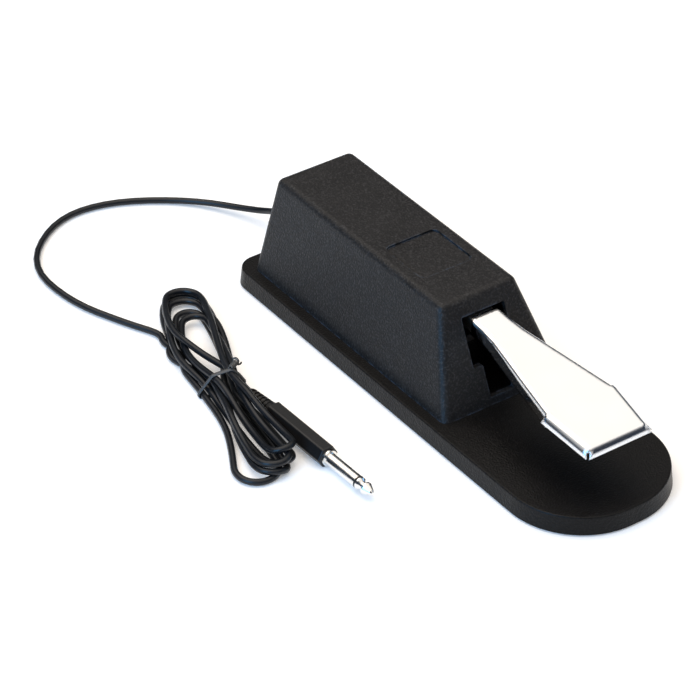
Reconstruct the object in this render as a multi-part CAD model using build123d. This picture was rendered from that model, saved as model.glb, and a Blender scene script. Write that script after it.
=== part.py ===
from build123d import *
import math
import os

# A piano-style sustain pedal: a weighted base, a tapered housing with a sprung chrome pedal,
# and a cord that ends in a 6.35 mm mono plug. Millimetres, +Z up. The origin is the middle of
# the footprint on the floor, the toe of the pedal points to -Y and the cord leaves to +Y.

# Base
BASE_LENGTH = 268.0
BASE_WIDTH = 84.0
BASE_TOP = 10.2
BASE_DRAFT = 1.0
BASE_WALL = 3.0
BASE_SKIN = 2.6
REAR_CORNER = 11.0
FRONT_CORNER = 39.0
RIM_LIFT = 0.8
SOLE_THICKNESS = 2.0
BALLAST_THICKNESS = 3.0
BASE_EDGE = 0.9
GROOVE_PITCH = 10.0
GROOVE_WIDTH = 1.2
GROOVE_DEPTH = 0.6
SLIP = 0.05  # clearance left around every screw and pin
REACH = 20.0  # half length of a cutter that goes right through

# Screws: shank radius, head radius
CASE_SCREW = (1.75, 3.4)
BALLAST_SCREW = (1.5, 2.9)
BRACKET_SCREW = (2.0, 3.6)
SMALL_SCREW = (1.25, 2.4)
SWITCH_SCREW = (1.0, 1.7)
COUNTERSUNK_HEAD = 1.5
CASE_SCREW_TOP = 34.0
CASE_BOSS = 4.5
HOUSING_BOSS = 4.0
HOUSING_BOSS_TOP = 46.0
SMALL_BOSS = 3.0

# Housing: a frustum from its foot to its flat top
FOOT_HALF_WIDTH = 35.2
FOOT_FRONT = -35.4
FOOT_REAR = 124.0
HOUSING_TOP = 59.6
TOP_HALF_WIDTH = 22.0
TOP_FRONT = -13.0
TOP_REAR = 122.3
HOUSING_WALL = 2.7
HOUSING_EDGE = 4.0
WINDOW_HALF_WIDTH = 12.5
WINDOW_LOW = 28.5
WINDOW_HIGH = 51.5
SLOT_HALF_WIDTH = 7.0
SLOT_LOW = 13.5
WINDOW_REAR = -8.5
SLOT_REAR = -19.0
WINDOW_CORNER = 0.8
CORD_HOLE = 4.0
PANEL_WIDTH = 30.0
PANEL_LENGTH = 31.0
PANEL_Y = 26.0
PANEL_DEPTH = 1.0
PANEL_CORNER = 3.5

# Pedal plate: stations along its length give the height of its top and its half width
PLATE_REAR = -17.5
NECK_END = -26.0
SHOULDER = -90.0
TOE = -117.0
NECK_TOP = 50.4
SHOULDER_TOP = 43.9
TOE_TOP = 40.0
NECK_HALF = 8.6
SHOULDER_HALF = 19.4
TOE_HALF = 16.1
PLATE_GAUGE = 1.6
SKIRT_DEPTH = 8.0
NECK_CURVE = [(-36.0, 9.4), (-48.0, 11.6), (-62.0, 14.3)]  # where the neck widens, and its half width
NECK_FLARE = 0.15
LIP_FLARE = 3.0
LIP_DEPTH = 3.5
LIP_WEB = 0.9  # wall that closes the lip against the neck's skirt
BEND_RADIUS = 1.7
NECK_CORNER = 3.2
TOE_CORNER = 2.4
SLIT_SIZE = (1.2, 4.5, 3.4)
SLIT_REACH = 1.4

# Lever arm and pivot
ARM_HALF = 6.9
ARM_GAUGE = 1.6
ARM_TOP = 49.3
ARM_LOW = 41.9
ARM_FRONT_DEPTH = 5.6
ARM_KNEE = -12.0
ARM_FRONT = -75.0
ARM_REAR = 76.0
ARM_EYE_DEPTH = 5.0  # below the pivot's axis
ARM_EYE_FRONT = 16.0
ARM_TAIL_FRONT = 30.0
ARM_TOP_GAP = 0.09
PRESS_FIT = 0.02
PIN_FIT = 0.03
PIN_CHAMFER = 0.4
GROOVE_SLACK = 0.05
CLIP_SLACK = 0.1
BUSH_DEPTH = 2.2
PIVOT_Y = 68.0
PIVOT_Z = 42.5
PIN_RADIUS = 2.5
PIN_HALF = 13.4
EAR_INNER = 9.0
EAR_GAUGE = 2.0
BUSH_RADIUS = 3.5
BUSH_RIM = 4.8
BUSH_HEAD = 1.5
CLIP_GAUGE = 0.7
CLIP_RADIUS = 4.4
GROOVE_RADIUS = 2.0
BRACKET_FOOT = (42.0, 25.0)
BRACKET_CORNER = 2.5
EAR_RADIUS = 7.0
CLIP_MOUTH = 2.8

# Return spring
SPRING_Y = 22.0
SPRING_RADIUS = 4.2
SPRING_WIRE = 0.6
SPRING_TURNS = 9
SEAT_FLOOR = 12.2
SEAT_RADIUS = 8.5
SEAT_HEIGHT = 6.0
POST_TOP = 24.0
SPRING_GAP = 0.4  # round the spring in its cup
POST_GAP = 0.5
SEAT_EDGE = 1.2
POST_EDGE = 0.8
SPRING_END_GAP = 0.05

# Stops
UPPER_STOP_Y = -3.0
LOWER_STOP_Y = -5.0
BUFFER_TOP = 33.6
BUFFER_HEIGHT = 3.5
REST_GAP = 0.1
STOP_THICKNESS = 3.0
STOP_WIDTH = 5.0
FELT_HALF = 9.0
TOWER_HALF = 6.0
TOWER_WALL = 2.0
BUFFER_RIM = 1.5
BUFFER_HALF = 5.0
BUFFER_EDGE = 0.8

# Switch
SWITCH_Y = 46.0
SWITCH_WIDTH = 6.4
SWITCH_LENGTH = 19.8
SWITCH_LOW = 34.3
SWITCH_HIGH = 44.3
PLUNGER_Y = 50.0
PLUNGER_HALF = 1.3
PLUNGER_TOP = 47.4
SWITCH_GAUGE = 1.2
SCREW_PITCH = 4.75
TERMINAL_PITCH = 7.5
TERMINAL_DROP = 3.8
TERMINAL_HALF_GAUGE = 0.25
TERMINAL_HALF_WIDTH = 1.4
TERMINAL_EYE = 0.75
TERMINAL_EYE_DROP = 2.4
SWITCH_WEB_HALF = 9.0
SWITCH_FOOT_HALF = 8.5
SWITCH_FOOT_END = 16.5
SWITCH_SCREW_HEIGHT = 2.6
SWITCH_CORNER = 0.6
SWITCH_BORE = 4.5
PLUNGER_DEPTH = 2.2
PLUNGER_EDGE = 0.7
NUT_REACH = 0.7
SWITCH_HEAD = 1.1

# Cord and what holds it
CORD_DIAMETER = 3.4
CORD_RADIUS = CORD_DIAMETER / 2
CORD_Z = 15.5
INNER_END = 92.0
ARC_SHARE = 0.45  # of the shorter run beside a corner
CLAMP_Y = 100.0
CLAMP_HALF = 10.5
CLAMP_WIDTH = 8.0
CLAMP_GAUGE = 3.0
CROWN_HALF = 4.0
CROWN_WALL = 1.9
CROWN_EDGE = 2.5
CORE_RADIUS = 0.7
GROMMET_END = 140.0
GROMMET_FLANGE = 5.2
GROMMET_FLANGE_GAUGE = 2.0
GROMMET_WALL_GAP = 0.4
GROMMET_NECK = 3.95
GROMMET_RIM = 4.9
GROMMET_RIM_GAUGE = 1.5
GROMMET_RADII = (3.9, 2.6)  # the boot's radius at its rim and at its end
BOOT_GROOVE_COUNT = 5
BOOT_GROOVE_PITCH = 2.3
BOOT_GROOVE_WIDTH = 0.9
BOOT_GROOVE_START = 3.3
BOOT_GROOVE_FLOOR = (3.1, 0.22)  # radius of the first groove's floor, and how much less each next one has
CORD_ROUTE = [
    (0, 140, 15.5),
    (0, 151, 15.5),
    (-1.5, 170, 6.0),
    (-20.5, 204.4, 1.8),
    (-57, 228, 1.8),
    (-89, 228.6, 1.8),
    (-119.7, 201, 1.8),
    (-119.7, 162, 1.8),
    (-106, 129, 1.8),
    (-97.5, 113, 1.9),
]

# Hank: two lobes meeting at the tie
HANK_HEIGHT = 9.0
HANK_LIFT = 0.1
HANK_EDGE = 2.0
TIE_X = -96.6
TIE_Y = 60.3
TIE_TURN = 32.0
TIE_LENGTH = 27.0
TIE_WIDTH = 2.6
TIE_GAUGE = 0.8
TIE_LIFT = 0.65
TIE_CORNER = 2.6
TIE_OVER = 1.2  # height of the tie beyond the hank's
UPPER_DISCS = [(13.5, -80.5, 122), (8.5, -100, 82), (10.0, TIE_X - 0.4, TIE_Y)]
LOWER_DISCS = [(7.5, TIE_X - 4, TIE_Y - 4), (7.0, -105, -2), (11.0, -119, -3)]
PLUG_LEAD = 14.0

# Plug, laid along -Y and turned a little
PLUG_X = -91.0
PLUG_Y = 44.5
PLUG_Z = 5.0
PLUG_TURN = 1.65
RELIEF_LENGTH = 16.5
BODY_LENGTH = 46.0
BODY_FLATS = 10.0
JACK_RADIUS = 3.175
COLLAR_RADIUS = 4.1
COLLAR_LENGTH = 1.5
SLEEVE_LENGTH = 21.5
RING_LENGTH = 1.2
TIP_LENGTH = 9.8
RIB_COUNT = 6
RIB_PITCH = 2.6
RIB_RADIUS = (2.85, 0.17)  # the first rib's, and how much more each next one has
RIB_SLOPE = 0.1
TAIL_RADII = (2.3, 3.3)
BODY_CORNER = 1.2
BODY_EDGE = 0.7
BODY_COLLAR_RADII = (4.0, 4.4)
BODY_COLLAR_LENGTH = 3.0

BALLAST_TOP = SOLE_THICKNESS + BALLAST_THICKNESS
HOUSING_SCREWS = [(x, y) for y in (-16.0, 46.0, 110.0) for x in (-24.0, 24.0)]
BASE_SCREWS = [(x, y) for y in (-88.0, -50.0) for x in (-22.0, 22.0)]


def put(shape, x=0.0, y=0.0, z=0.0):
    return Pos(x, y, z) * shape


def rod(radius, low, high, x=0.0, y=0.0):
    """An upright cylinder between two heights."""
    return put(Cylinder(radius, high - low), x, y, (low + high) / 2)


def cross_rod(radius, x_low, x_high, y, z):
    """A cylinder lying along X."""
    return put(Rot(0, 90, 0) * Cylinder(radius, abs(x_high - x_low)), (x_low + x_high) / 2, y, z)


def block(x0, x1, y0, y1, z0, z1):
    return put(Box(x1 - x0, y1 - y0, z1 - z0), (x0 + x1) / 2, (y0 + y1) / 2, (z0 + z1) / 2)


def across(points, half_width):
    """A prism along X from an outline of (y, z) points."""
    outline = Plane.YZ * make_face(Polyline(*points, close=True))
    return extrude(outline, half_width, both=True)


def footprint(inset, z):
    """The base outline, drawn in by inset, as a face at height z."""
    rear = RectangleRounded(
        BASE_WIDTH - 2 * inset, BASE_LENGTH - 2 * inset, REAR_CORNER - inset
    )
    front_half = block(-BASE_WIDTH, BASE_WIDTH, -BASE_LENGTH, 0, -1, 1)
    front = RectangleRounded(
        BASE_WIDTH - 2 * inset, BASE_LENGTH - 2 * inset, FRONT_CORNER - inset
    )
    return Pos(0, 0, z) * ((rear - front_half) + (front & front_half)).face()


def base_shell():
    height = BASE_TOP - RIM_LIFT
    taper = math.degrees(math.atan(BASE_DRAFT / height))
    shell = extrude(footprint(0, RIM_LIFT), height, taper=taper)
    top = shell.faces().sort_by(Axis.Z)[-1]
    shell = fillet(top.edges(), BASE_EDGE)
    shell -= extrude(footprint(BASE_WALL, RIM_LIFT), BASE_TOP - BASE_SKIN - RIM_LIFT)
    for places, screw, boss, low, top in (
        (HOUSING_SCREWS, CASE_SCREW, CASE_BOSS, RIM_LIFT, BASE_TOP + 1),
        (BASE_SCREWS, BALLAST_SCREW, CASE_BOSS, RIM_LIFT, BASE_TOP - 2),
        (bracket_screw_places(), BRACKET_SCREW, HOUSING_BOSS, RIM_LIFT, BASE_TOP + 1),
        (small_screw_places(), SMALL_SCREW, SMALL_BOSS, BALLAST_TOP, BASE_TOP + 1),
    ):
        for x, y in places:
            shell += rod(boss, BALLAST_TOP, BASE_TOP - 1, x, y)
        for x, y in places:
            shell -= rod(screw[0] + SLIP, low, top, x, y)
    return shell + stop_tower()


def stop_tower():
    """The hollow post that carries the rubber buffer."""
    top = BUFFER_TOP - BUFFER_HEIGHT
    rear, front = LOWER_STOP_Y + TOWER_HALF, LOWER_STOP_Y - TOWER_HALF
    tower = block(-TOWER_HALF, TOWER_HALF, front, rear, BASE_TOP - 1, top)
    return tower - block(
        TOWER_WALL - TOWER_HALF, TOWER_HALF - TOWER_WALL, front + TOWER_WALL, rear - TOWER_WALL,
        BASE_TOP, top - TOWER_WALL,
    )


def ballast_plate():
    plate = extrude(footprint(BASE_WALL + 0.4, SOLE_THICKNESS), BALLAST_THICKNESS)
    countersink = SOLE_THICKNESS + COUNTERSUNK_HEAD + SLIP
    for places, screw in ((HOUSING_SCREWS, CASE_SCREW), (BASE_SCREWS, BALLAST_SCREW)):
        for x, y in places:
            plate -= rod(screw[0] + SLIP, 0, BASE_TOP, x, y)
            plate -= rod(screw[1] + SLIP, 0, countersink, x, y)
    for x, y in bracket_screw_places():
        plate -= rod(BRACKET_SCREW[0] + SLIP, 0, BASE_TOP, x, y)
    return plate


def rubber_sole():
    """The non-slip sheet, with shallow grooves across it."""
    sole = extrude(footprint(BASE_WALL + 0.2, 0), SOLE_THICKNESS)
    count = int(BASE_LENGTH / 2 / GROOVE_PITCH)
    for index in range(1 - count, count):
        y = index * GROOVE_PITCH
        sole -= block(
            -BASE_WIDTH, BASE_WIDTH, y - GROOVE_WIDTH / 2, y + GROOVE_WIDTH / 2, -1, GROOVE_DEPTH
        )
    return sole


def flat_screw(screw, top, x, y):
    """A screw driven up from below, its flat head let into the ballast plate."""
    radius, head_radius = screw
    head_top = SOLE_THICKNESS + COUNTERSUNK_HEAD
    head = rod(head_radius, SOLE_THICKNESS + SLIP, head_top, x, y)
    return head + rod(radius, head_top, top, x, y) - cross_recess(SOLE_THICKNESS, 1.0, x, y)


def cross_recess(z, depth, x, y):
    """Two crossed slots centred on a screw head."""
    slot = block(-1.6, 1.6, -0.35, 0.35, -depth, depth)
    return put(slot + Rot(0, 0, 90) * slot, x, y, z)


def pan_screw(screw, seat, bottom, x, y):
    """A screw driven down from above, its domed head standing on seat."""
    radius, head_radius = screw
    height = 0.6 * head_radius
    head = rod(head_radius, seat, seat + height, x, y)
    head = fillet(head.edges().sort_by(Axis.Z)[-1], 0.45 * height)
    return head + rod(radius, bottom, seat, x, y) - cross_recess(seat + height, 0.8, x, y)


def housing_screws():
    return group(flat_screw(CASE_SCREW, CASE_SCREW_TOP, x, y) for x, y in HOUSING_SCREWS)


def ballast_screws():
    return group(flat_screw(BALLAST_SCREW, BASE_TOP - BASE_SKIN, x, y) for x, y in BASE_SCREWS)


def group(solids):
    return Compound(children=[solid.solid() for solid in solids])


def frustum(inset, low, high):
    """The housing's tapered block between two heights, drawn in by inset on its four sides."""

    def section(z):
        part = (z - BASE_TOP) / (HOUSING_TOP - BASE_TOP)
        half = FOOT_HALF_WIDTH + part * (TOP_HALF_WIDTH - FOOT_HALF_WIDTH) - inset
        front = FOOT_FRONT + part * (TOP_FRONT - FOOT_FRONT) + inset
        rear = FOOT_REAR + part * (TOP_REAR - FOOT_REAR) - inset
        return Pos(0, (front + rear) / 2, z) * Rectangle(2 * half, rear - front)

    return loft([section(low), section(high)], ruled=True)


def housing_shell():
    outer = frustum(0, BASE_TOP, HOUSING_TOP)
    edges = [edge for edge in outer.edges() if edge.center().Z > BASE_TOP + 1]
    outer = fillet(edges, HOUSING_EDGE)
    shell = outer - frustum(HOUSING_WALL, BASE_TOP - 1, HOUSING_TOP - HOUSING_WALL)
    bosses = [rod(HOUSING_BOSS, BASE_TOP, HOUSING_BOSS_TOP, x, y) for x, y in HOUSING_SCREWS]
    stop_rib = block(
        -TOP_HALF_WIDTH, TOP_HALF_WIDTH, UPPER_STOP_Y - STOP_WIDTH / 2, UPPER_STOP_Y + STOP_WIDTH / 2,
        ARM_TOP + REST_GAP + STOP_THICKNESS, HOUSING_TOP - 1,
    )
    for solid in bosses + [stop_rib]:
        shell += solid & outer
    for x, y in HOUSING_SCREWS:
        shell -= rod(CASE_SCREW[0] + SLIP, BASE_TOP - 1, CASE_SCREW_TOP + 1, x, y)
    window = block(
        -WINDOW_HALF_WIDTH, WINDOW_HALF_WIDTH, 2 * FOOT_FRONT, WINDOW_REAR, WINDOW_LOW, WINDOW_HIGH
    )
    slot = block(
        -SLOT_HALF_WIDTH, SLOT_HALF_WIDTH, 2 * FOOT_FRONT, SLOT_REAR, SLOT_LOW, WINDOW_LOW + 1
    )
    opening = fillet((window + slot).edges().filter_by(Axis.Y), WINDOW_CORNER)
    panel = extrude(
        Pos(0, PANEL_Y, HOUSING_TOP - PANEL_DEPTH)
        * RectangleRounded(PANEL_WIDTH, PANEL_LENGTH, PANEL_CORNER),
        2,
    )
    cord_hole = put(Rot(90, 0, 0) * Cylinder(CORD_HOLE + SLIP, REACH), 0, FOOT_REAR - 2, CORD_Z)
    return shell - opening - panel - cord_hole


def plate_section(y, half, flare, inset):
    """The neck's outline across its width: a flat top and sides that open by flare."""
    top = slope_top(y)
    half = half - inset
    corners = [(half, top - inset), (half + flare, top - SKIRT_DEPTH - inset)]
    outline = [(x, 0, z) for x, z in corners] + [(-x, 0, z) for x, z in reversed(corners)]
    return Pos(0, y, 0) * make_face(Polyline(*outline, close=True))


def slope_top(y):
    """Height of the plate's top surface, which falls faster in front of the shoulder."""
    if y > SHOULDER:
        return NECK_TOP + (y - PLATE_REAR) * (NECK_TOP - SHOULDER_TOP) / (PLATE_REAR - SHOULDER)
    return SHOULDER_TOP + (y - SHOULDER) * (SHOULDER_TOP - TOE_TOP) / (SHOULDER - TOE)


def neck_block(rear, front, inset):
    """The solid shape of the plate behind its shoulder, drawn in by inset."""
    stations = [
        (rear, NECK_HALF),
        (NECK_END, NECK_HALF),
        *NECK_CURVE,
        (SHOULDER, SHOULDER_HALF),
    ]
    if front < SHOULDER:
        stations.append((front, lip_half(front)))
    return loft([plate_section(y, half, NECK_FLARE, inset) for y, half in stations], ruled=True)


def lip_half(y):
    """Half the width of the plate's top between the shoulder and the toe."""
    share = (y - SHOULDER) / (TOE - SHOULDER)
    return SHOULDER_HALF + share * (TOE_HALF - SHOULDER_HALF)


def lip_outline(rear, reach, depth):
    """The lip's outline at a depth below the plate's top, its three sides moved out by reach."""
    toe = TOE - reach
    corners = [(lip_half(rear) + reach, rear), (lip_half(TOE) + reach, toe)]
    corners += [(-x, y) for x, y in reversed(corners)]
    return make_face(Polyline(*[(x, y, slope_top(y) - depth) for x, y in corners], close=True))


def lip_block(rear, inset):
    """The solid shape of the plate in front of its shoulder, a sloping lip on three sides."""
    slope = LIP_FLARE / LIP_DEPTH
    drawn_in = inset * math.hypot(1, slope)
    low = LIP_DEPTH + inset
    high_outline = lip_outline(rear, slope * inset - drawn_in, inset)
    return loft([lip_outline(rear, slope * low - drawn_in, low), high_outline], ruled=True)


def top_edges(solid):
    """The long edges of a plate block's top, without those across the plate at its rear."""
    return [
        edge
        for edge in solid.edges()
        if abs(edge.center().Z - slope_top(edge.center().Y)) < 0.5
        and (abs(edge.center().X) > 1 or edge.center().Y < TOE + 1)
    ]


def pedal_plate():
    """The stamped plate under the foot, its lip slit at the two toe corners."""
    neck = neck_block(PLATE_REAR, SHOULDER, 0)
    lip = lip_block(SHOULDER, 0)
    toe_corners = [
        edge
        for edge in lip.edges()
        if edge.center().Y < TOE - 1 and abs(edge.center().X) > TOE_HALF
    ]
    lip = fillet(toe_corners, TOE_CORNER)
    outer = fillet(top_edges(neck), BEND_RADIUS) + fillet(top_edges(lip), BEND_RADIUS)
    inner_neck = neck_block(PLATE_REAR + 2, SHOULDER - LIP_WEB - 0.1, PLATE_GAUGE)
    plate = outer - inner_neck - lip_block(SHOULDER - LIP_WEB, PLATE_GAUGE)
    slit = Rot(0, 0, 45) * Box(*SLIT_SIZE)
    slit = put(slit, TOE_HALF + SLIT_REACH, TOE - SLIT_REACH, TOE_TOP - SLIT_SIZE[2])
    plate = plate - slit - mirror(slit, Plane.YZ)
    rear_corners = RectangleRounded(2 * (NECK_HALF + NECK_FLARE) + 0.2, 2 * REACH, NECK_CORNER)
    front = Pos(0, NECK_END + TOE) * Rectangle(3 * SHOULDER_HALF, -2 * TOE)
    return plate & extrude(Pos(0, PLATE_REAR - REACH) * rear_corners + front, HOUSING_TOP)


def bracket_screw_places():
    return [(x, y) for x in (-16.5, 16.5) for y in (61.0, 75.0)]


def small_screw_places():
    """Screws of the switch bracket, then of the cord clamp."""
    return [(12.0, 41.5), (12.0, 50.5), (-7.5, CLAMP_Y), (7.5, CLAMP_Y)]


def lever_arm():
    """The channel under the plate that runs back to the pivot."""
    top_front = slope_top(ARM_FRONT) - PLATE_GAUGE
    top_rear = slope_top(PLATE_REAR) - PLATE_GAUGE
    top = [(ARM_FRONT, top_front), (PLATE_REAR, top_rear), (ARM_KNEE, ARM_TOP), (ARM_REAR, ARM_TOP)]
    low = [
        (ARM_REAR, PIVOT_Z - ARM_EYE_DEPTH),
        (PIVOT_Y - ARM_EYE_FRONT, PIVOT_Z - ARM_EYE_DEPTH),
        (PIVOT_Y - ARM_TAIL_FRONT, ARM_LOW),
        (ARM_KNEE, ARM_LOW), (ARM_FRONT, top_front - ARM_FRONT_DEPTH),
    ]
    outer = across(top + low, ARM_HALF)
    roof = [(y, z - ARM_GAUGE) for y, z in top]
    roof[0] = (ARM_FRONT - 1, top_front - ARM_GAUGE - ARM_TOP_GAP)
    roof[-1] = (ARM_REAR + 1, ARM_TOP - ARM_GAUGE)
    arm = outer - across(roof + [(ARM_REAR + 1, BASE_TOP), (ARM_FRONT - 1, BASE_TOP)], ARM_HALF - ARM_GAUGE)
    return arm - cross_rod(BUSH_RADIUS + PRESS_FIT, -REACH, REACH, PIVOT_Y, PIVOT_Z)


def pivot_bushes():
    bushes = []
    for side in (-1, 1):
        sleeve = cross_rod(BUSH_RADIUS, side * (ARM_HALF - BUSH_DEPTH), side * ARM_HALF, PIVOT_Y, PIVOT_Z)
        head = cross_rod(BUSH_RIM, side * ARM_HALF, side * (ARM_HALF + BUSH_HEAD), PIVOT_Y, PIVOT_Z)
        bushes.append(sleeve + head - cross_rod(PIN_RADIUS + SLIP, -REACH, REACH, PIVOT_Y, PIVOT_Z))
    return group(bushes)


def clip_face():
    return EAR_INNER + EAR_GAUGE + CLIP_SLACK


def pivot_pin():
    pin = cross_rod(PIN_RADIUS, -PIN_HALF, PIN_HALF, PIVOT_Y, PIVOT_Z)
    pin = chamfer(pin.edges(), PIN_CHAMFER)
    for side in (-1, 1):
        low = side * (clip_face() - GROOVE_SLACK)
        high = side * (clip_face() + CLIP_GAUGE + GROOVE_SLACK)
        ring = cross_rod(PIN_RADIUS + 1, low, high, PIVOT_Y, PIVOT_Z)
        pin -= ring - cross_rod(GROOVE_RADIUS, low, high, PIVOT_Y, PIVOT_Z)
    return pin


def pivot_clips():
    """Snap rings in the pin's grooves, each open at the bottom."""
    clips = []
    for side in (-1, 1):
        low = side * clip_face()
        high = side * (clip_face() + CLIP_GAUGE)
        clip = cross_rod(CLIP_RADIUS, low, high, PIVOT_Y, PIVOT_Z)
        clip -= cross_rod(GROOVE_RADIUS + PIN_FIT, low - side, high + side, PIVOT_Y, PIVOT_Z)
        mouth = block(
            -REACH, REACH, PIVOT_Y - CLIP_MOUTH / 2, PIVOT_Y + CLIP_MOUTH / 2,
            PIVOT_Z - CLIP_RADIUS - 1, PIVOT_Z - 1,
        )
        clips.append(clip - mouth)
    return group(clips)


def pivot_bracket():
    """A folded steel stand: two ears on one foot plate."""
    foot = put(Box(*BRACKET_FOOT, EAR_GAUGE), 0, PIVOT_Y, BASE_TOP + EAR_GAUGE / 2)
    bracket = fillet(foot.edges().filter_by(Axis.Z), BRACKET_CORNER)
    for side in (-1, 1):
        x0 = side * EAR_INNER
        x1 = side * (EAR_INNER + EAR_GAUGE)
        bracket += block(
            min(x0, x1), max(x0, x1), PIVOT_Y - EAR_RADIUS, PIVOT_Y + EAR_RADIUS, BASE_TOP, PIVOT_Z
        )
        bracket += cross_rod(EAR_RADIUS, x0, x1, PIVOT_Y, PIVOT_Z)
    bracket -= cross_rod(PIN_RADIUS + PIN_FIT, -REACH, REACH, PIVOT_Y, PIVOT_Z)
    for x, y in bracket_screw_places():
        bracket -= rod(BRACKET_SCREW[0] + SLIP, 0, REACH, x, y)
    return bracket


def bracket_screws():
    seat = BASE_TOP + EAR_GAUGE
    return group(
        pan_screw(BRACKET_SCREW, seat, SOLE_THICKNESS + 0.4, x, y) for x, y in bracket_screw_places()
    )


def spring_top():
    return ARM_TOP - ARM_GAUGE


def spring_seat():
    """A moulded cup on the base with a post that keeps the spring upright."""
    seat = rod(SEAT_RADIUS, BASE_TOP, BASE_TOP + SEAT_HEIGHT, 0, SPRING_Y)
    seat = fillet(seat.edges().sort_by(Axis.Z)[-1], SEAT_EDGE)
    seat -= rod(SPRING_RADIUS + SPRING_WIRE + SPRING_GAP, SEAT_FLOOR, POST_TOP, 0, SPRING_Y)
    post = rod(SPRING_RADIUS - SPRING_WIRE - POST_GAP, SEAT_FLOOR - 1, POST_TOP, 0, SPRING_Y)
    post = chamfer(post.edges().sort_by(Axis.Z)[-1], POST_EDGE)
    return seat + post


def return_spring():
    """A compression spring between the cup and the arm, its end turns ground flat."""
    low = SEAT_FLOOR
    high = spring_top() - SPRING_END_GAP
    pitch = (high - low - 2 * SPRING_WIRE) / SPRING_TURNS
    path = Helix(pitch, high - low - 2 * SPRING_WIRE, SPRING_RADIUS)
    start = Plane(origin=path @ 0, z_dir=path % 0)
    coil = sweep(start * Circle(SPRING_WIRE), path)
    coil = put(coil, 0, SPRING_Y, low + SPRING_WIRE)
    rings = [
        put(Torus(SPRING_RADIUS, SPRING_WIRE), 0, SPRING_Y, z)
        for z in (low + SPRING_WIRE, high - SPRING_WIRE)
    ]
    return coil + rings[0] + rings[1]


def upper_stop():
    """A felt strip under the housing's rib, which the arm rests against."""
    low = ARM_TOP + REST_GAP
    front, rear = UPPER_STOP_Y - STOP_WIDTH / 2, UPPER_STOP_Y + STOP_WIDTH / 2
    return block(-FELT_HALF, FELT_HALF, front, rear, low, low + STOP_THICKNESS)


def lower_stop():
    """A rubber buffer on the tower, which the pressed arm lands on."""
    low = BUFFER_TOP - BUFFER_HEIGHT
    half = TOWER_HALF + BUFFER_RIM
    pad = block(-half, half, LOWER_STOP_Y - BUFFER_HALF, LOWER_STOP_Y + BUFFER_HALF, low, BUFFER_TOP)
    return fillet(pad.edges().sort_by(Axis.Z)[-4:], BUFFER_EDGE)


def switch_bracket():
    """An angle of sheet steel: a foot on the base and a web beside the switch."""
    web_x = SWITCH_WIDTH / 2
    web = block(
        web_x, web_x + SWITCH_GAUGE, SWITCH_Y - SWITCH_WEB_HALF, SWITCH_Y + SWITCH_WEB_HALF,
        BASE_TOP, SWITCH_HIGH - 1,
    )
    foot = block(
        web_x, SWITCH_FOOT_END, SWITCH_Y - SWITCH_FOOT_HALF, SWITCH_Y + SWITCH_FOOT_HALF,
        BASE_TOP, BASE_TOP + SWITCH_GAUGE,
    )
    bracket = web + foot
    for x, y in small_screw_places()[:2]:
        bracket -= rod(SMALL_SCREW[0] + SLIP, 0, REACH, x, y)
    for y, z in switch_screw_places():
        bracket -= cross_rod(SWITCH_SCREW[0] + SLIP, 0, REACH, y, z)
    return bracket


def switch_screw_places():
    return [(SWITCH_Y + side * SCREW_PITCH, SWITCH_LOW + SWITCH_SCREW_HEIGHT) for side in (-1, 1)]


def switch_body():
    half = SWITCH_WIDTH / 2
    length = SWITCH_LENGTH / 2
    body = block(-half, half, SWITCH_Y - length, SWITCH_Y + length, SWITCH_LOW, SWITCH_HIGH)
    body = fillet(body.edges().filter_by(Axis.X), SWITCH_CORNER)
    for y, z in switch_screw_places():
        body -= cross_rod(SWITCH_SCREW[0] + SLIP, -REACH, REACH, y, z)
    body -= rod(PLUNGER_HALF + SLIP, SWITCH_HIGH - SWITCH_BORE, SWITCH_HIGH + 1, 0, PLUNGER_Y)
    return body


def switch_plunger():
    plunger = rod(PLUNGER_HALF, SWITCH_HIGH - PLUNGER_DEPTH, PLUNGER_TOP, 0, PLUNGER_Y)
    return fillet(plunger.edges().sort_by(Axis.Z)[-1], PLUNGER_EDGE)


def switch_screws():
    screws = []
    for y, z in switch_screw_places():
        half = SWITCH_WIDTH / 2
        shank = cross_rod(SWITCH_SCREW[0], -half, half + SWITCH_GAUGE + NUT_REACH, y, z)
        head = cross_rod(SWITCH_SCREW[1], -half - SWITCH_HEAD, -half, y, z)
        screws.append(shank + head)
    return group(screws)


def terminal_places():
    return [SWITCH_Y + index * TERMINAL_PITCH for index in (-1, 0, 1)]


def switch_terminals():
    """Three tinned blades under the switch, each with an eye for its wire."""
    blades = []
    for y in terminal_places():
        blade = block(
            -TERMINAL_HALF_GAUGE, TERMINAL_HALF_GAUGE, y - TERMINAL_HALF_WIDTH, y + TERMINAL_HALF_WIDTH,
            SWITCH_LOW - TERMINAL_DROP, SWITCH_LOW,
        )
        blades.append(blade - cross_rod(TERMINAL_EYE, -1, 1, y, SWITCH_LOW - TERMINAL_EYE_DROP))
    return group(blades)


def switch_bracket_screws():
    seat = BASE_TOP + SWITCH_GAUGE
    return group(
        pan_screw(SMALL_SCREW, seat, BALLAST_TOP + 0.4, x, y) for x, y in small_screw_places()[:2]
    )


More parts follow.
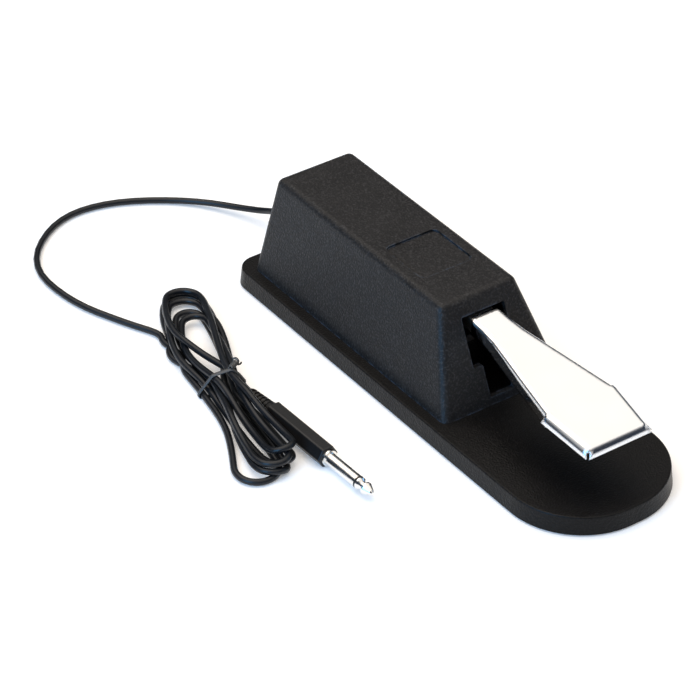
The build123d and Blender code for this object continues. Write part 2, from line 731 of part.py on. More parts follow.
def cord_clamp():
    """A moulded saddle over the cord, screwed down on both sides."""
    front, rear = CLAMP_Y - CLAMP_WIDTH / 2, CLAMP_Y + CLAMP_WIDTH / 2
    saddle = block(-CLAMP_HALF, CLAMP_HALF, front, rear, BASE_TOP, BASE_TOP + CLAMP_GAUGE)
    crown = block(-CROWN_HALF, CROWN_HALF, front, rear, BASE_TOP, CORD_Z + CORD_RADIUS + CROWN_WALL)
    saddle = saddle + fillet(crown.edges().filter_by(Axis.Y).sort_by(Axis.Z)[-2:], CROWN_EDGE)
    saddle -= put(Rot(90, 0, 0) * Cylinder(CORD_RADIUS + PRESS_FIT, REACH), 0, CLAMP_Y, CORD_Z)
    for x, y in small_screw_places()[2:]:
        saddle -= rod(SMALL_SCREW[0] + SLIP, 0, REACH, x, y)
    return saddle


def clamp_screws():
    seat = BASE_TOP + CLAMP_GAUGE
    return group(
        pan_screw(SMALL_SCREW, seat, BALLAST_TOP + 0.4, x, y) for x, y in small_screw_places()[2:]
    )


def inner_cord():
    """The jacketed cord from the wall to just past its clamp."""
    middle = (GROMMET_END + INNER_END) / 2
    return put(Rot(90, 0, 0) * Cylinder(CORD_RADIUS, GROMMET_END - INNER_END), 0, middle, CORD_Z)


def core_wire(x, terminal_y):
    """One insulated core from the end of the jacket to its terminal."""
    end = SWITCH_LOW - TERMINAL_DROP - 0.1
    route = FilletPolyline(
        (x, INNER_END, CORD_Z), (x, INNER_END - 8, CORD_Z), (x * 2.4, INNER_END - 16, CORD_Z - 1.5),
        (x * 2.4, terminal_y + 5, CORD_Z - 1), (x * 1.2, terminal_y, CORD_Z + 6), (x * 1.2, terminal_y, end),
        radius=3,
    )
    start = Plane(origin=route @ 0, z_dir=route % 0)
    return sweep(start * Circle(CORE_RADIUS), route)


def cord_grommet():
    """The strain relief in the rear wall: a flange inside, a ribbed tapering boot outside."""
    wall_in = FOOT_REAR - HOUSING_WALL - GROMMET_WALL_GAP
    wall_out = FOOT_REAR
    inside = CORD_RADIUS + PRESS_FIT
    profile = [
        (inside, wall_in - GROMMET_FLANGE_GAUGE),
        (GROMMET_FLANGE, wall_in - GROMMET_FLANGE_GAUGE),
        (GROMMET_FLANGE, wall_in),
        (GROMMET_NECK, wall_in),
        (GROMMET_NECK, wall_out),
        (GROMMET_RIM, wall_out),
        (GROMMET_RIM, wall_out + GROMMET_RIM_GAUGE),
        (GROMMET_RADII[0], wall_out + GROMMET_RIM_GAUGE),
        (GROMMET_RADII[1], GROMMET_END),
        (inside, GROMMET_END),
    ]
    face = make_face(Polyline(*profile, close=True))
    boot = put(revolve(face, Axis.Y), 0, 0, CORD_Z)
    for index in range(BOOT_GROOVE_COUNT):
        y = wall_out + BOOT_GROOVE_START + index * BOOT_GROOVE_PITCH
        floor = BOOT_GROOVE_FLOOR[0] - BOOT_GROOVE_FLOOR[1] * index
        ring = Cylinder(2 * GROMMET_NECK, BOOT_GROOVE_WIDTH) - Cylinder(floor, BOOT_GROOVE_WIDTH)
        boot -= put(Rot(90, 0, 0) * ring, 0, y, CORD_Z)
    return boot


def cord_tube():
    """The free loop: straight runs joined by tangent arcs as large as the runs allow."""
    points = [Vector(*point) for point in CORD_ROUTE]
    radii = []
    for before, here, after in zip(points, points[1:], points[2:]):
        turn = math.radians((here - before).get_angle(after - here))
        shorter = min((here - before).length, (after - here).length)
        radii.append(ARC_SHARE * shorter / math.tan(turn / 2))
    print("cord radii", [round(radius, 1) for radius in radii])
    route = FilletPolyline(*points, radius=radii)
    start = Plane(origin=route @ 0, z_dir=route % 0)
    tube = sweep(start * Circle(CORD_RADIUS), route)
    print("cord length", round(route.length, 1), "volume ratio",
          round(tube.volume / (math.pi * CORD_RADIUS**2 * route.length), 4))
    return tube


def disc(radius, x, y):
    return Pos(x, y, 0) * Circle(radius)


def hull_of(*discs):
    return make_hull(sum(discs[1:], discs[0]).edges())


def cord_hank():
    """The outer shape of the tied hank: an upper lobe and a lower fan meeting at the tie,
    with the stretch of cord that runs on from the tie to the plug."""
    lobes = [hull_of(*[disc(*row) for row in rows]) for rows in (UPPER_DISCS, LOWER_DISCS)]
    hank = put(extrude(lobes[0] + lobes[1], HANK_HEIGHT), 0, 0, HANK_LIFT)
    hank = fillet(hank.edges().group_by(Axis.Z)[-1], HANK_EDGE)
    hank += lay_plug(put(Rot(90, 0, 0) * Cylinder(CORD_RADIUS, PLUG_LEAD), 0, PLUG_LEAD / 2, 0))
    return hank - twist_tie()


def twist_tie():
    """A flat strip wrapped once around the hank's waist."""
    height = HANK_HEIGHT + TIE_OVER
    outer = Box(TIE_LENGTH, TIE_WIDTH, height)
    inner = Box(TIE_LENGTH - 2 * TIE_GAUGE, 2 * TIE_WIDTH, height - 2 * TIE_GAUGE)
    outer = fillet(outer.edges().filter_by(Axis.Y), TIE_CORNER)
    inner = fillet(inner.edges().filter_by(Axis.Y), TIE_CORNER - TIE_GAUGE)
    return put(Rot(0, 0, TIE_TURN) * (outer - inner), TIE_X, TIE_Y, HANK_HEIGHT / 2 + TIE_LIFT)


def lay_plug(shape):
    """Move a shape built along -Y from the plug's rear end to where the plug lies."""
    return Pos(PLUG_X, PLUG_Y, PLUG_Z) * Rot(0, 0, PLUG_TURN) * shape


def turned(profile):
    """Revolve (distance from the rear end, radius) points about the plug's axis."""
    face = make_face(Polyline(*[(radius, -along) for along, radius in profile], close=True))
    return revolve(face, Axis.Y)


def plug_relief():
    """The flexible ribbed tail of the plug."""
    tail = turned([(0, 0), (0, TAIL_RADII[0]), (RELIEF_LENGTH, TAIL_RADII[1]), (RELIEF_LENGTH, 0)])
    for index in range(RIB_COUNT):
        along = (index + 0.5) * RIB_PITCH
        end = along + RIB_PITCH / 2
        radius = RIB_RADIUS[0] + RIB_RADIUS[1] * index
        tail += turned([(along, 1), (along, radius), (end, radius + RIB_SLOPE), (end, 1)])
    return lay_plug(tail)


def plug_body():
    """The moulded six-sided handle, with a round collar at its rear and a flat front."""
    hexagon = RegularPolygon(BODY_FLATS / 2, 6, major_radius=False)
    hexagon = fillet(hexagon.vertices(), BODY_CORNER)
    front = -RELIEF_LENGTH - BODY_LENGTH
    front_plane = Plane(origin=(0, front, 0), z_dir=(0, 1, 0), x_dir=(1, 0, 0))
    body = extrude(front_plane * hexagon, BODY_LENGTH - BODY_COLLAR_LENGTH)
    body = fillet(body.faces().sort_by(Axis.Y)[0].edges(), BODY_EDGE)
    collar_end = RELIEF_LENGTH + BODY_COLLAR_LENGTH
    collar = turned([
        (RELIEF_LENGTH, 0), (RELIEF_LENGTH, BODY_COLLAR_RADII[0]),
        (collar_end, BODY_COLLAR_RADII[1]), (collar_end, 0),
    ])
    return lay_plug(body + collar)


def sleeve_start():
    return RELIEF_LENGTH + BODY_LENGTH


def plug_sleeve():
    start = sleeve_start()
    shaft = start + COLLAR_LENGTH
    end = shaft + SLEEVE_LENGTH
    sleeve = turned([
        (start, 0), (start, COLLAR_RADIUS), (shaft, COLLAR_RADIUS), (shaft, JACK_RADIUS),
        (end, JACK_RADIUS), (end, 0),
    ])
    return lay_plug(sleeve)


def ring_start():
    return sleeve_start() + COLLAR_LENGTH + SLEEVE_LENGTH


def plug_ring():
    start = ring_start()
    end = start + RING_LENGTH
    return lay_plug(turned([(start, 0), (start, JACK_RADIUS), (end, JACK_RADIUS), (end, 0)]))


def plug_tip():
    """The contact: a shoulder, a waist that the socket's spring drops into, and a blunt cone."""
    start = ring_start() + RING_LENGTH
    profile = [
        (0, 0), (0, JACK_RADIUS), (1.0, JACK_RADIUS), (2.1, 2.15), (3.3, 2.15), (4.6, JACK_RADIUS),
        (5.4, JACK_RADIUS), (8.9, 1.5), (TIP_LENGTH, 0.6), (TIP_LENGTH, 0),
    ]
    return lay_plug(turned([(start + along, radius) for along, radius in profile]))


PARTS = {
    "base_shell": base_shell,
    "ballast_plate": ballast_plate,
    "rubber_sole": rubber_sole,
    "ballast_screws": ballast_screws,
    "housing_shell": housing_shell,
    "housing_screws": housing_screws,
    "pedal_plate": pedal_plate,
    "lever_arm": lever_arm,
    "pivot_bushes": pivot_bushes,
    "pivot_pin": pivot_pin,
    "pivot_clips": pivot_clips,
    "pivot_bracket": pivot_bracket,
    "bracket_screws": bracket_screws,
    "spring_seat": spring_seat,
    "return_spring": return_spring,
    "upper_stop_felt": upper_stop,
    "lower_stop_buffer": lower_stop,
    "switch_bracket": switch_bracket,
    "switch_bracket_screws": switch_bracket_screws,
    "switch_body": switch_body,
    "switch_plunger": switch_plunger,
    "switch_screws": switch_screws,
    "switch_terminals": switch_terminals,
    "core_wire_common": lambda: core_wire(-1.1, terminal_places()[0]),
    "core_wire_contact": lambda: core_wire(1.1, terminal_places()[2]),
    "cord_clamp": cord_clamp,
    "clamp_screws": clamp_screws,
    "inner_cord": inner_cord,
    "cord_grommet": cord_grommet,
    "cord": cord_tube,
    "cord_hank": cord_hank,
    "twist_tie": twist_tie,
    "plug_relief": plug_relief,
    "plug_body": plug_body,
    "plug_sleeve": plug_sleeve,
    "plug_ring": plug_ring,
    "plug_tip": plug_tip,
}

os.makedirs("parts", exist_ok=True)
for name, build in PARTS.items():
    export_step(build(), f"parts/{name}.step")
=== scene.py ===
import math

import bmesh
import bpy
import numpy as np
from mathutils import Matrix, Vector


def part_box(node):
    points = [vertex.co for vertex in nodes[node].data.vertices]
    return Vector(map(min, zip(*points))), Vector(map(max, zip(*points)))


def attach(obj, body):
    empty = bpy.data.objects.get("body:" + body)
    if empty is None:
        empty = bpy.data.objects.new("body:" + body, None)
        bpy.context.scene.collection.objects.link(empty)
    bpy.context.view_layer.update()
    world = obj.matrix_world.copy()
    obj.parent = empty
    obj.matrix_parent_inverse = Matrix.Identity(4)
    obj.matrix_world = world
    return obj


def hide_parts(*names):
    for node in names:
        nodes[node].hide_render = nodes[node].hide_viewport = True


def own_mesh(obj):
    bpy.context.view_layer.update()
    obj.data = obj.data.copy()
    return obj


# A sustain pedal with its cord tied in a hank beside it. Lengths below are in millimetres where a
# name or comment says so, and every object is made in metres, in the CAD model's frame.
MM = 0.001
UP = Vector((0, 0, 1))

# Camera: a long lens, from the front left and above
CAMERA_PLACE = (-0.77849, -1.01031, 0.94471)
CAMERA_LOOK = (0.46692, 0.66043, -0.58806)
CAMERA_LENS = 170.0
CAMERA_SENSOR = 36.0

# Cord, in millimetres: the free loop's points, as in the CAD model
CORD_DIAMETER = 3.4
CORD_ROUTE = [
    (0, 140, 15.5),
    (0, 151, 15.5),
    (-1.5, 170, 6.0),
    (-20.5, 204.4, 1.8),
    (-57, 228, 1.8),
    (-89, 228.6, 1.8),
    (-119.7, 201, 1.8),
    (-119.7, 162, 1.8),
    (-106, 129, 1.8),
    (-97.5, 113, 1.9),
]
CORD_STEPS = 5  # points drawn for each point of the spline
CORD_ROUNDNESS = 5

# Hank, in millimetres. Each turn goes from the tie down its left side, round its bottom fold, up
# its right side through the tie, round its top fold and back to the tie.
TIE = (-96.5, 55.5)
TIE_TURN = math.radians(-22)
TURNS = [
    # places along the tie going down and up, layers of those two sides,
    # then low left side, bottom fold's centre and radius, low right side,
    # then high right side, top fold's centre and radius, high left side
    (
        -6.6, 0.2, 0, 0,
        (-112.5, 28), (-118.3, -3.0), 11.0, (-102.5, 26),
        (-72.5, 96), (-78.6, 122.4), 12.9, (-105.5, 90),
    ),
    (
        -3.2, 3.6, 0, 0,
        (-114.5, 24), (-112.4, -4.6), 8.4, (-99.5, 26),
        (-74.5, 94), (-80.4, 121.0), 10.4, (-108, 86),
    ),
    (
        -6.2, 0.6, 1, 1,
        (-111, 24), (-106.4, -3.6), 7.6, (-98.0, 28),
        (-77, 90), (-81.6, 113.4), 9.4, (-103, 82),
    ),
    (
        -2.8, 2.4, 1, 2,
        (-113, 26), (-111.0, -4.5), 8.8, (-102, 28),
        (-76, 96), (-82.4, 106.5), 9.2, (-104, 80),
    ),
    (
        -4.4, -1.0, 2, 2,
        (-106.5, 28), (-104.6, -2.4), 7.0, (-97.8, 30),
        (-76.5, 98), (-78.6, 124.6), 11.2, (-101.2, 100),
    ),
]
HANK_ENTRY = [(-101.5, 99), (-105.5, 83)]
HANK_EXIT = [(-97, 87), (-92.5, 75), (-90, 65)]
PLUG_END = [(-90.2, 58, 6.8), (-90.7, 51, 5.2), (-91, 44.5, 5.0)]
PLUG_AXIS = ((-91.0, 44.5, 5.0), (-89.2, -18.0, 5.0))
PLUG_RADIUS = 5.4
PLUG_SPAN = (0.02, 1)  # the part of its axis that pushes the cord away
BOTTOM_SWEEP = (160, 370)
TOP_SWEEP = (-28, 152)
POINT_STEP = 8.0
SETTLE_ROUNDS = 500
TURN_RISE = 1.2  # how much higher each turn starts than the one before
LAYER_RISE = 1.6
LAST_LAYER = 1.6  # the layer on which the cord leaves the last turn for the plug
START_GAP = 0.1  # above the floor, before the strands settle
FLOOR_GAP = 0.05
SEARCH_ROUNDS = 8  # rounds between searches for strands that may touch
SEARCH_REACH = 1.9  # in cord diameters
STRAND_GAP = 1.02  # distance that the strands settle to, in cord diameters
PUSH_SHARE = 0.8
CROWDING = 0.6  # how far a point's pushes are averaged, from 0 for a sum to 1 for a mean
NEIGHBOURS = 12  # spline points that are too near along the cord to push each other
HOLD = (0.08, 0.08, 0.0)  # pull towards the layout along x, y and z
HOLD_FADE = 0.4
SMOOTH = (0.3, 0.3, 0.12)
SINK = 0.03

# Sky: its colours from straight down, 0, through the horizon, 0.5, to straight up, 1
SKY_STRENGTH = 1.25
SKY_BANDS = [
    (0.00, (0.03, 0.045, 0.075)),
    (0.50, (0.03, 0.033, 0.04)),
    (0.60, (0.35, 0.36, 0.38)),
    (0.67, (1.0, 0.95, 0.89)),
    (1.00, (1.0, 0.93, 0.86)),
]

# Lights: place, what they point at, size in metres, power in watts, colour
OVERHEAD = ((-0.2, 0.5, 1.6), (0, 0, 0), (1.6, 1.6), 13.0, (1.0, 0.88, 0.74))
LEFT_SOFT = ((-1.5, -0.3, 0.7), (-0.05, 0, 0.03), (0.9, 1.2), 20.0, (0.16, 0.52, 1.0))

# Floor: half its side and how far it lies under the object, in metres, and the light it gives off
FLOOR_HALF = 3.0
FLOOR_DROP = 0.0002
FLOOR_GLOW = 0.22

# Finishes: the height of a grain in millimetres; patches of edge wear and painted edge highlight, and
# scratches, in features a metre
GRAIN_HEIGHT = 0.32
WEAR_AND_HIGHLIGHT_PATCHES = 260.0
SCRATCH_LINES = 900.0

# Tie, in millimetres: its strip's outline is given as (across, outward) points
TIE_PROFILE = [
    (-1.2, 0.0),
    (-1.2, 0.32),
    (-0.45, 0.40),
    (0.0, 0.78),
    (0.45, 0.40),
    (1.2, 0.32),
    (1.2, 0.0),
]
TIE_SLACK = 0.25
TIE_POINTS = 96
TIE_POINT_GAP = 0.35
TIE_REACH = 20.0  # strands crossing farther from the tie's middle are not tied
TIE_LOWEST = 0.1
TWIST_TURNS = 2.5
TWIST_STEPS = 40
TWIST_LENGTH = 8.0
TWIST_RADIUS = 0.75
TWIST_LIFT = 0.3
TWIST_DROP = 1.2
TWIST_OPENS = (0.75, 6.4)  # where along the twist its ends part, and how fast
TWIST_NARROW = 0.6
TWIST_SIDE = 0.25  # how much the twist prefers a strand farther along the tie to a higher one
TWIST_SLANT = (0.8, 0.55)  # its direction, across and along the tie
TWIST_ROLL = 0.6

# Return spring, in millimetres
SPRING_TURNS = 9
SPRING_STEPS = 28
SPRING_SIDES = 10
SPRING_CLOSED = 1.0  # turns that lie flat at each end
SPRING_WIRE = 0.6  # radius
SPRING_LAY = 2 * SPRING_WIRE + 0.02  # height that one closed turn takes

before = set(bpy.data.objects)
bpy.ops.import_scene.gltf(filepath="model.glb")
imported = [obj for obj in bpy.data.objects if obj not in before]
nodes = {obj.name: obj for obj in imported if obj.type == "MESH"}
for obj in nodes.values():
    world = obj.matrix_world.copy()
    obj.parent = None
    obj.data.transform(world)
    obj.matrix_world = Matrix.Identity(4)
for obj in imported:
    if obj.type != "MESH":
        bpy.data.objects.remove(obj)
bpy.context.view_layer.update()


# ---- Camera, floor and light


def add_camera():
    data = bpy.data.cameras.new("camera")
    data.lens = CAMERA_LENS
    data.sensor_width = CAMERA_SENSOR
    data.clip_end = 20.0
    camera = bpy.data.objects.new("camera", data)
    camera.location = CAMERA_PLACE
    camera.rotation_euler = Vector(CAMERA_LOOK).to_track_quat("-Z", "Y").to_euler()
    bpy.context.scene.collection.objects.link(camera)
    bpy.context.scene.camera = camera


def add_area_light(name, place, target, size, power, colour):
    data = bpy.data.lights.new(name, "AREA")
    data.shape = "RECTANGLE"
    data.size, data.size_y = size
    data.energy = power
    data.color = colour
    light = bpy.data.objects.new(name, data)
    light.location = place
    light.rotation_euler = (Vector(target) - Vector(place)).to_track_quat("-Z", "Y").to_euler()
    bpy.context.scene.collection.objects.link(light)


def add_sky(strength):
    """A pale studio round the object: white overhead and dark low down, which edges the chrome."""
    world = bpy.data.worlds.new("studio")
    bpy.context.scene.world = world
    world.use_nodes = True
    tree = world.node_tree
    background = tree.nodes["Background"]
    coords = tree.nodes.new("ShaderNodeTexCoord")
    split = tree.nodes.new("ShaderNodeSeparateXYZ")
    ramp = tree.nodes.new("ShaderNodeValToRGB")
    tree.links.new(coords.outputs["Generated"], split.inputs[0])
    tree.links.new(split.outputs["Z"], ramp.inputs[0])
    tree.links.new(ramp.outputs[0], background.inputs["Color"])
    background.inputs["Strength"].default_value = strength
    while len(ramp.color_ramp.elements) < len(SKY_BANDS):
        ramp.color_ramp.elements.new(0.5)
    for element, (place, colour) in zip(ramp.color_ramp.elements, SKY_BANDS):
        element.position = place
        element.color = (*colour, 1.0)


def add_floor(material):
    mesh = bpy.data.meshes.new("floor")
    corners = [(-1, -1), (1, -1), (1, 1), (-1, 1)]
    mesh.from_pydata(
        [(x * FLOOR_HALF, y * FLOOR_HALF, -FLOOR_DROP) for x, y in corners], [], [(0, 1, 2, 3)]
    )
    floor = bpy.data.objects.new("floor", mesh)
    bpy.context.scene.collection.objects.link(floor)
    mesh.materials.append(material)


# ---- Materials


def texture(tree, kind, scale, detail=3.0, stretch=(1, 1, 1)):
    """A noise in object space; scale is in features per metre."""
    coords = tree.nodes.new("ShaderNodeTexCoord")
    mapping = tree.nodes.new("ShaderNodeMapping")
    mapping.inputs["Scale"].default_value = stretch
    noise = tree.nodes.new(kind)
    noise.inputs["Scale"].default_value = scale
    if "Detail" in noise.inputs:
        noise.inputs["Detail"].default_value = detail
    tree.links.new(coords.outputs["Object"], mapping.inputs[0])
    tree.links.new(mapping.outputs[0], noise.inputs["Vector"])
    return noise.outputs["Fac" if "Fac" in noise.outputs else "Distance"]


def remap(tree, value, low_in, high_in, low_out, high_out):
    node = tree.nodes.new("ShaderNodeMapRange")
    tree.links.new(value, node.inputs["Value"])
    for name, number in (
        ("From Min", low_in), ("From Max", high_in), ("To Min", low_out), ("To Max", high_out)
    ):
        node.inputs[name].default_value = number
    return node.outputs[0]


def mix_colour(tree, factor, first, second):
    """first and second are colours, or the outputs of other nodes."""
    node = tree.nodes.new("ShaderNodeMix")
    node.data_type = "RGBA"
    tree.links.new(factor, node.inputs["Factor"])
    for socket, value in ((node.inputs[6], first), (node.inputs[7], second)):
        if isinstance(value, bpy.types.NodeSocket):
            tree.links.new(value, socket)
        else:
            socket.default_value = (*value, 1.0)
    return node.outputs[2]


def edge_mask(tree, radius):
    """1 on convex and concave edges, 0 on flat faces."""
    bevel = tree.nodes.new("ShaderNodeBevel")
    bevel.samples = 4
    bevel.inputs["Radius"].default_value = radius
    geometry = tree.nodes.new("ShaderNodeNewGeometry")
    dot = tree.nodes.new("ShaderNodeVectorMath")
    dot.operation = "DOT_PRODUCT"
    tree.links.new(bevel.outputs[0], dot.inputs[0])
    tree.links.new(geometry.outputs["Normal"], dot.inputs[1])
    return remap(tree, dot.outputs["Value"], 0.98, 0.80, 0.0, 1.0)


def surface(
    name, colour, rough, metallic=0.0, grain=0.0, grain_mm=0.4, mottle=0.12, mottle_mm=14.0,
    rough_spread=0.08, stretch=(1, 1, 1), edge_wear_and_highlight=None, edge_wear_and_highlight_mm=0.6, scratch=0.0, sheen=0.0,
    specular=0.5, speckle=0.0, rounded_mm=0.0,
):
    """A procedural finish: mottled colour, uneven gloss, a fine grain in relief, edges in an edge
    colour that is real wear on some finishes and a painted highlight on others, hairline scratches, and
    edges that shine as if rounded by rounded_mm."""
    material = bpy.data.materials.new(name)
    material.use_nodes = True
    tree = material.node_tree
    shader = tree.nodes["Principled BSDF"]
    shader.inputs["Metallic"].default_value = metallic
    shader.inputs["Specular IOR Level"].default_value = specular
    shader.inputs["Sheen Weight"].default_value = sheen
    blotch = texture(tree, "ShaderNodeTexNoise", 1000 / mottle_mm, 4.0, stretch)
    fine = texture(tree, "ShaderNodeTexNoise", 1000 / grain_mm, 2.0, stretch)
    dark = tuple(c * (1 - mottle) for c in colour)
    light = tuple(min(c * (1 + mottle), 1.0) for c in colour)
    tint = mix_colour(tree, remap(tree, blotch, 0.3, 0.7, 0, 1), dark, light)
    if speckle:
        bright = tuple(min(c * (1 + speckle), 1.0) for c in colour)
        tint = mix_colour(tree, remap(tree, fine, 0.50, 0.68, 0, 1), tint, bright)
    # Edge colour over the edge mask: worn paint on the base and plug, and on the housing a painted
    # highlight that stands in for the cool light catching its edges
    if edge_wear_and_highlight:
        worn_and_lit = mix_colour(tree, edge_mask(tree, edge_wear_and_highlight_mm * MM), tint, edge_wear_and_highlight)
        patchy = texture(tree, "ShaderNodeTexNoise", WEAR_AND_HIGHLIGHT_PATCHES, 5.0)
        tint = mix_colour(tree, remap(tree, patchy, 0.42, 0.62, 0, 1), tint, worn_and_lit)
    tree.links.new(tint, shader.inputs["Base Color"])
    gloss = remap(tree, blotch, 0.25, 0.75, rough - rough_spread, rough + rough_spread)
    tree.links.new(gloss, shader.inputs["Roughness"])
    height = fine
    if scratch:
        lines = texture(tree, "ShaderNodeTexNoise", SCRATCH_LINES, 2.0, (1, 0.02, 1))
        marks = remap(tree, lines, 0.66, 0.70, 0.0, scratch)
        add = tree.nodes.new("ShaderNodeMath")
        add.operation = "ADD"
        tree.links.new(height, add.inputs[0])
        tree.links.new(marks, add.inputs[1])
        height = add.outputs[0]
    bump = tree.nodes.new("ShaderNodeBump")
    bump.inputs["Strength"].default_value = grain
    bump.inputs["Distance"].default_value = GRAIN_HEIGHT * MM
    tree.links.new(height, bump.inputs["Height"])
    if rounded_mm:
        bevel = tree.nodes.new("ShaderNodeBevel")
        bevel.samples = 8
        bevel.inputs["Radius"].default_value = rounded_mm * MM
        tree.links.new(bevel.outputs[0], bump.inputs["Normal"])
    tree.links.new(bump.outputs[0], shader.inputs["Normal"])
    return material


def paint(material, *names):
    for name in names:
        mesh = nodes[name].data
        mesh.materials.clear()
        mesh.materials.append(material)


def paint_frame():
    """A finish for every CAD node that stays in view or can be seen inside."""
    black = dict(grain=1.0, grain_mm=1.0, mottle=0.16, rough_spread=0.05, specular=0.24, speckle=2.0)
    # The housing's bluish edge colour is a painted highlight, standing in for the cool light on its
    # front-left edge, not wear
    housing = surface(
        "moulded_black", (0.0102, 0.0095, 0.0094), 0.42, edge_wear_and_highlight=(0.055, 0.068, 0.090), edge_wear_and_highlight_mm=1.6, **black
    )
    paint(housing, "housing_shell")
    base = surface(
        "base_black", (0.0030, 0.0027, 0.0026), 0.36, edge_wear_and_highlight=(0.03, 0.03, 0.031), edge_wear_and_highlight_mm=0.8,
        **{**black, "specular": 0.16, "speckle": 1.2}
    )
    paint(base, "base_shell")
    rubber = dict(grain=0.8, grain_mm=0.6, mottle=0.2, rough_spread=0.06)
    paint(surface("sole_rubber", (0.022, 0.022, 0.022), 0.78, **rubber), "rubber_sole")
    paint(surface("buffer_rubber", (0.018, 0.018, 0.019), 0.65, **rubber), "lower_stop_buffer")
    chrome = surface(
        "chrome", (0.86, 0.865, 0.87), 0.075, metallic=1.0, grain=0.05, grain_mm=1.2, mottle=0.02,
        mottle_mm=22, rough_spread=0.025, scratch=0.3, rounded_mm=2.6,
    )
    paint(chrome, "pedal_plate")
    nickel = surface(
        "nickel", (0.80, 0.785, 0.76), 0.13, metallic=1.0, grain=0.08, grain_mm=0.5, mottle=0.04,
        mottle_mm=5, rough_spread=0.05, stretch=(1, 6, 1),
    )
    paint(nickel, "plug_sleeve", "plug_tip")
    zinc = dict(metallic=1.0, grain=0.35, grain_mm=0.3, rough_spread=0.09, mottle=0.10)
    paint(surface("zinc_plate", (0.60, 0.60, 0.585), 0.34, stretch=(3, 1, 1), **zinc), "lever_arm")
    paint(
        surface("bracket_zinc", (0.52, 0.52, 0.51), 0.38, stretch=(1, 1, 4), **zinc),
        "pivot_bracket", "switch_bracket",
    )
    paint(
        surface("screw_zinc", (0.58, 0.575, 0.55), 0.30, mottle_mm=3, **{**zinc, "mottle": 0.18}),
        "ballast_screws", "housing_screws", "bracket_screws", "switch_bracket_screws",
        "switch_screws", "clamp_screws", "pivot_clips",
    )
    paint(surface("pin_steel", (0.62, 0.62, 0.63), 0.20, stretch=(1, 8, 8), **zinc), "pivot_pin")
    paint(surface("ballast_steel", (0.30, 0.29, 0.28), 0.48, **zinc), "ballast_plate")
    paint(surface("nylon", (0.62, 0.60, 0.54), 0.42, grain=0.2, mottle=0.05), "pivot_bushes")
    plain = dict(grain=0.3, grain_mm=0.5, mottle=0.1)
    paint(surface("inner_black", (0.035, 0.035, 0.037), 0.5, **plain), "spring_seat", "cord_clamp")
    paint(surface("switch_case", (0.05, 0.05, 0.062), 0.42, **plain), "switch_body")
    paint(surface("switch_button", (0.55, 0.13, 0.03), 0.38, **plain), "switch_plunger")
    paint(
        surface(
            "stop_felt", (0.13, 0.13, 0.14), 0.95, grain=1.0, grain_mm=0.25, mottle=0.35, mottle_mm=1.2,
            sheen=0.4,
        ),
        "upper_stop_felt",
    )
    paint(
        surface("brass", (0.72, 0.58, 0.30), 0.25, metallic=1.0, mottle=0.1, mottle_mm=3),
        "switch_terminals",
    )
    paint(surface("core_red", (0.42, 0.02, 0.02), 0.32, **plain), "core_wire_common")
    paint(surface("core_white", (0.62, 0.62, 0.60), 0.32, **plain), "core_wire_contact")
    plug = surface(
        "plug_black", (0.0075, 0.0072, 0.0075), 0.33, edge_wear_and_highlight=(0.045, 0.043, 0.041), edge_wear_and_highlight_mm=0.5,
        grain=0.3, grain_mm=0.6, mottle=0.12, rough_spread=0.06, specular=0.34,
    )
    paint(plug, "plug_body", "plug_relief", "cord_grommet")
    paint(surface("ring_black", (0.012, 0.012, 0.012), 0.35, **plain), "plug_ring")


def cord_finish():
    return surface(
        "cord_jacket", (0.0070, 0.0080, 0.0098), 0.33, grain=0.2, grain_mm=1.1, mottle=0.18, mottle_mm=18,
        rough_spread=0.07, specular=0.30,
    )


# ---- Cord and hank


def leg(corners, step=POINT_STEP):
    """Points along one side of a turn, without the last corner."""
    points = []
    for first, last in zip(corners, corners[1:]):
        count = max(1, round(math.dist(first, last) / step))
        for index in range(count):
            share = index / count
            points.append(tuple(a + (b - a) * share for a, b in zip(first, last)))
    return points


def fold(centre, radius, sweep):
    """Points round the end of a turn, without the last one, and then that last one."""
    start, end = (math.radians(angle) for angle in sweep)
    count = max(4, round(abs(end - start) * radius / POINT_STEP))
    angles = [start + (end - start) * index / count for index in range(count + 1)]
    points = [(centre[0] + radius * math.cos(a), centre[1] + radius * math.sin(a)) for a in angles]
    return points[:-1], points[-1]


def at_tie(place):
    """A point on the tie's line, by its place along the tie."""
    return (TIE[0] + place * math.cos(TIE_TURN), TIE[1] + place * math.sin(TIE_TURN))


def lay_out_hank():
    """The hank's points before they settle: rows of x, y, z, and 1 where a fold keeps its bend."""
    rows = []

    def add(points, turn, layer, bent=0):
        height = CORD_DIAMETER / 2 + START_GAP + TURN_RISE * turn + LAYER_RISE * layer
        rows.extend((x, y, height, bent) for x, y in points)

    add(leg([CORD_ROUTE[-1][:2], *HANK_ENTRY, at_tie(TURNS[0][0])])[1:], 0, 0)
    for turn, row in enumerate(TURNS):
        down, up, layer_down, layer_up = row[:4]
        low_left, bottom, bottom_r, low_right, high_right, top, top_r, high_left = row[4:]
        bottom_points, bottom_end = fold(bottom, bottom_r, BOTTOM_SWEEP)
        top_points, top_end = fold(top, top_r, TOP_SWEEP)
        add(leg([at_tie(down), low_left, bottom_points[0]]), turn, layer_down)
        add(bottom_points, turn, layer_down, 1)
        add(leg([bottom_end, low_right, at_tie(up), high_right, top_points[0]]), turn, layer_up)
        last = turn + 1 == len(TURNS)
        layer_next = LAST_LAYER if last else TURNS[turn + 1][2]
        back = [*HANK_EXIT, PLUG_END[0][:2]] if last else [at_tie(TURNS[turn + 1][0])]
        add(top_points, turn, max(layer_up, layer_next), 1)
        add(leg([top_end, high_left, *back]), turn, layer_next)
    return np.array(rows, float)


def spline_weights(count):
    """A matrix that turns control points of an order 3 spline into points along it."""
    shares = (0.125, 0.375, 0.625, 0.875)
    weights = np.zeros(((count - 2) * len(shares), count))
    for start in range(count - 2):
        for index, t in enumerate(shares):
            row = start * len(shares) + index
            weights[row, start:start + 3] = 0.5 * (1 - t) ** 2, 0.5 + t * (1 - t), 0.5 * t * t
    return weights


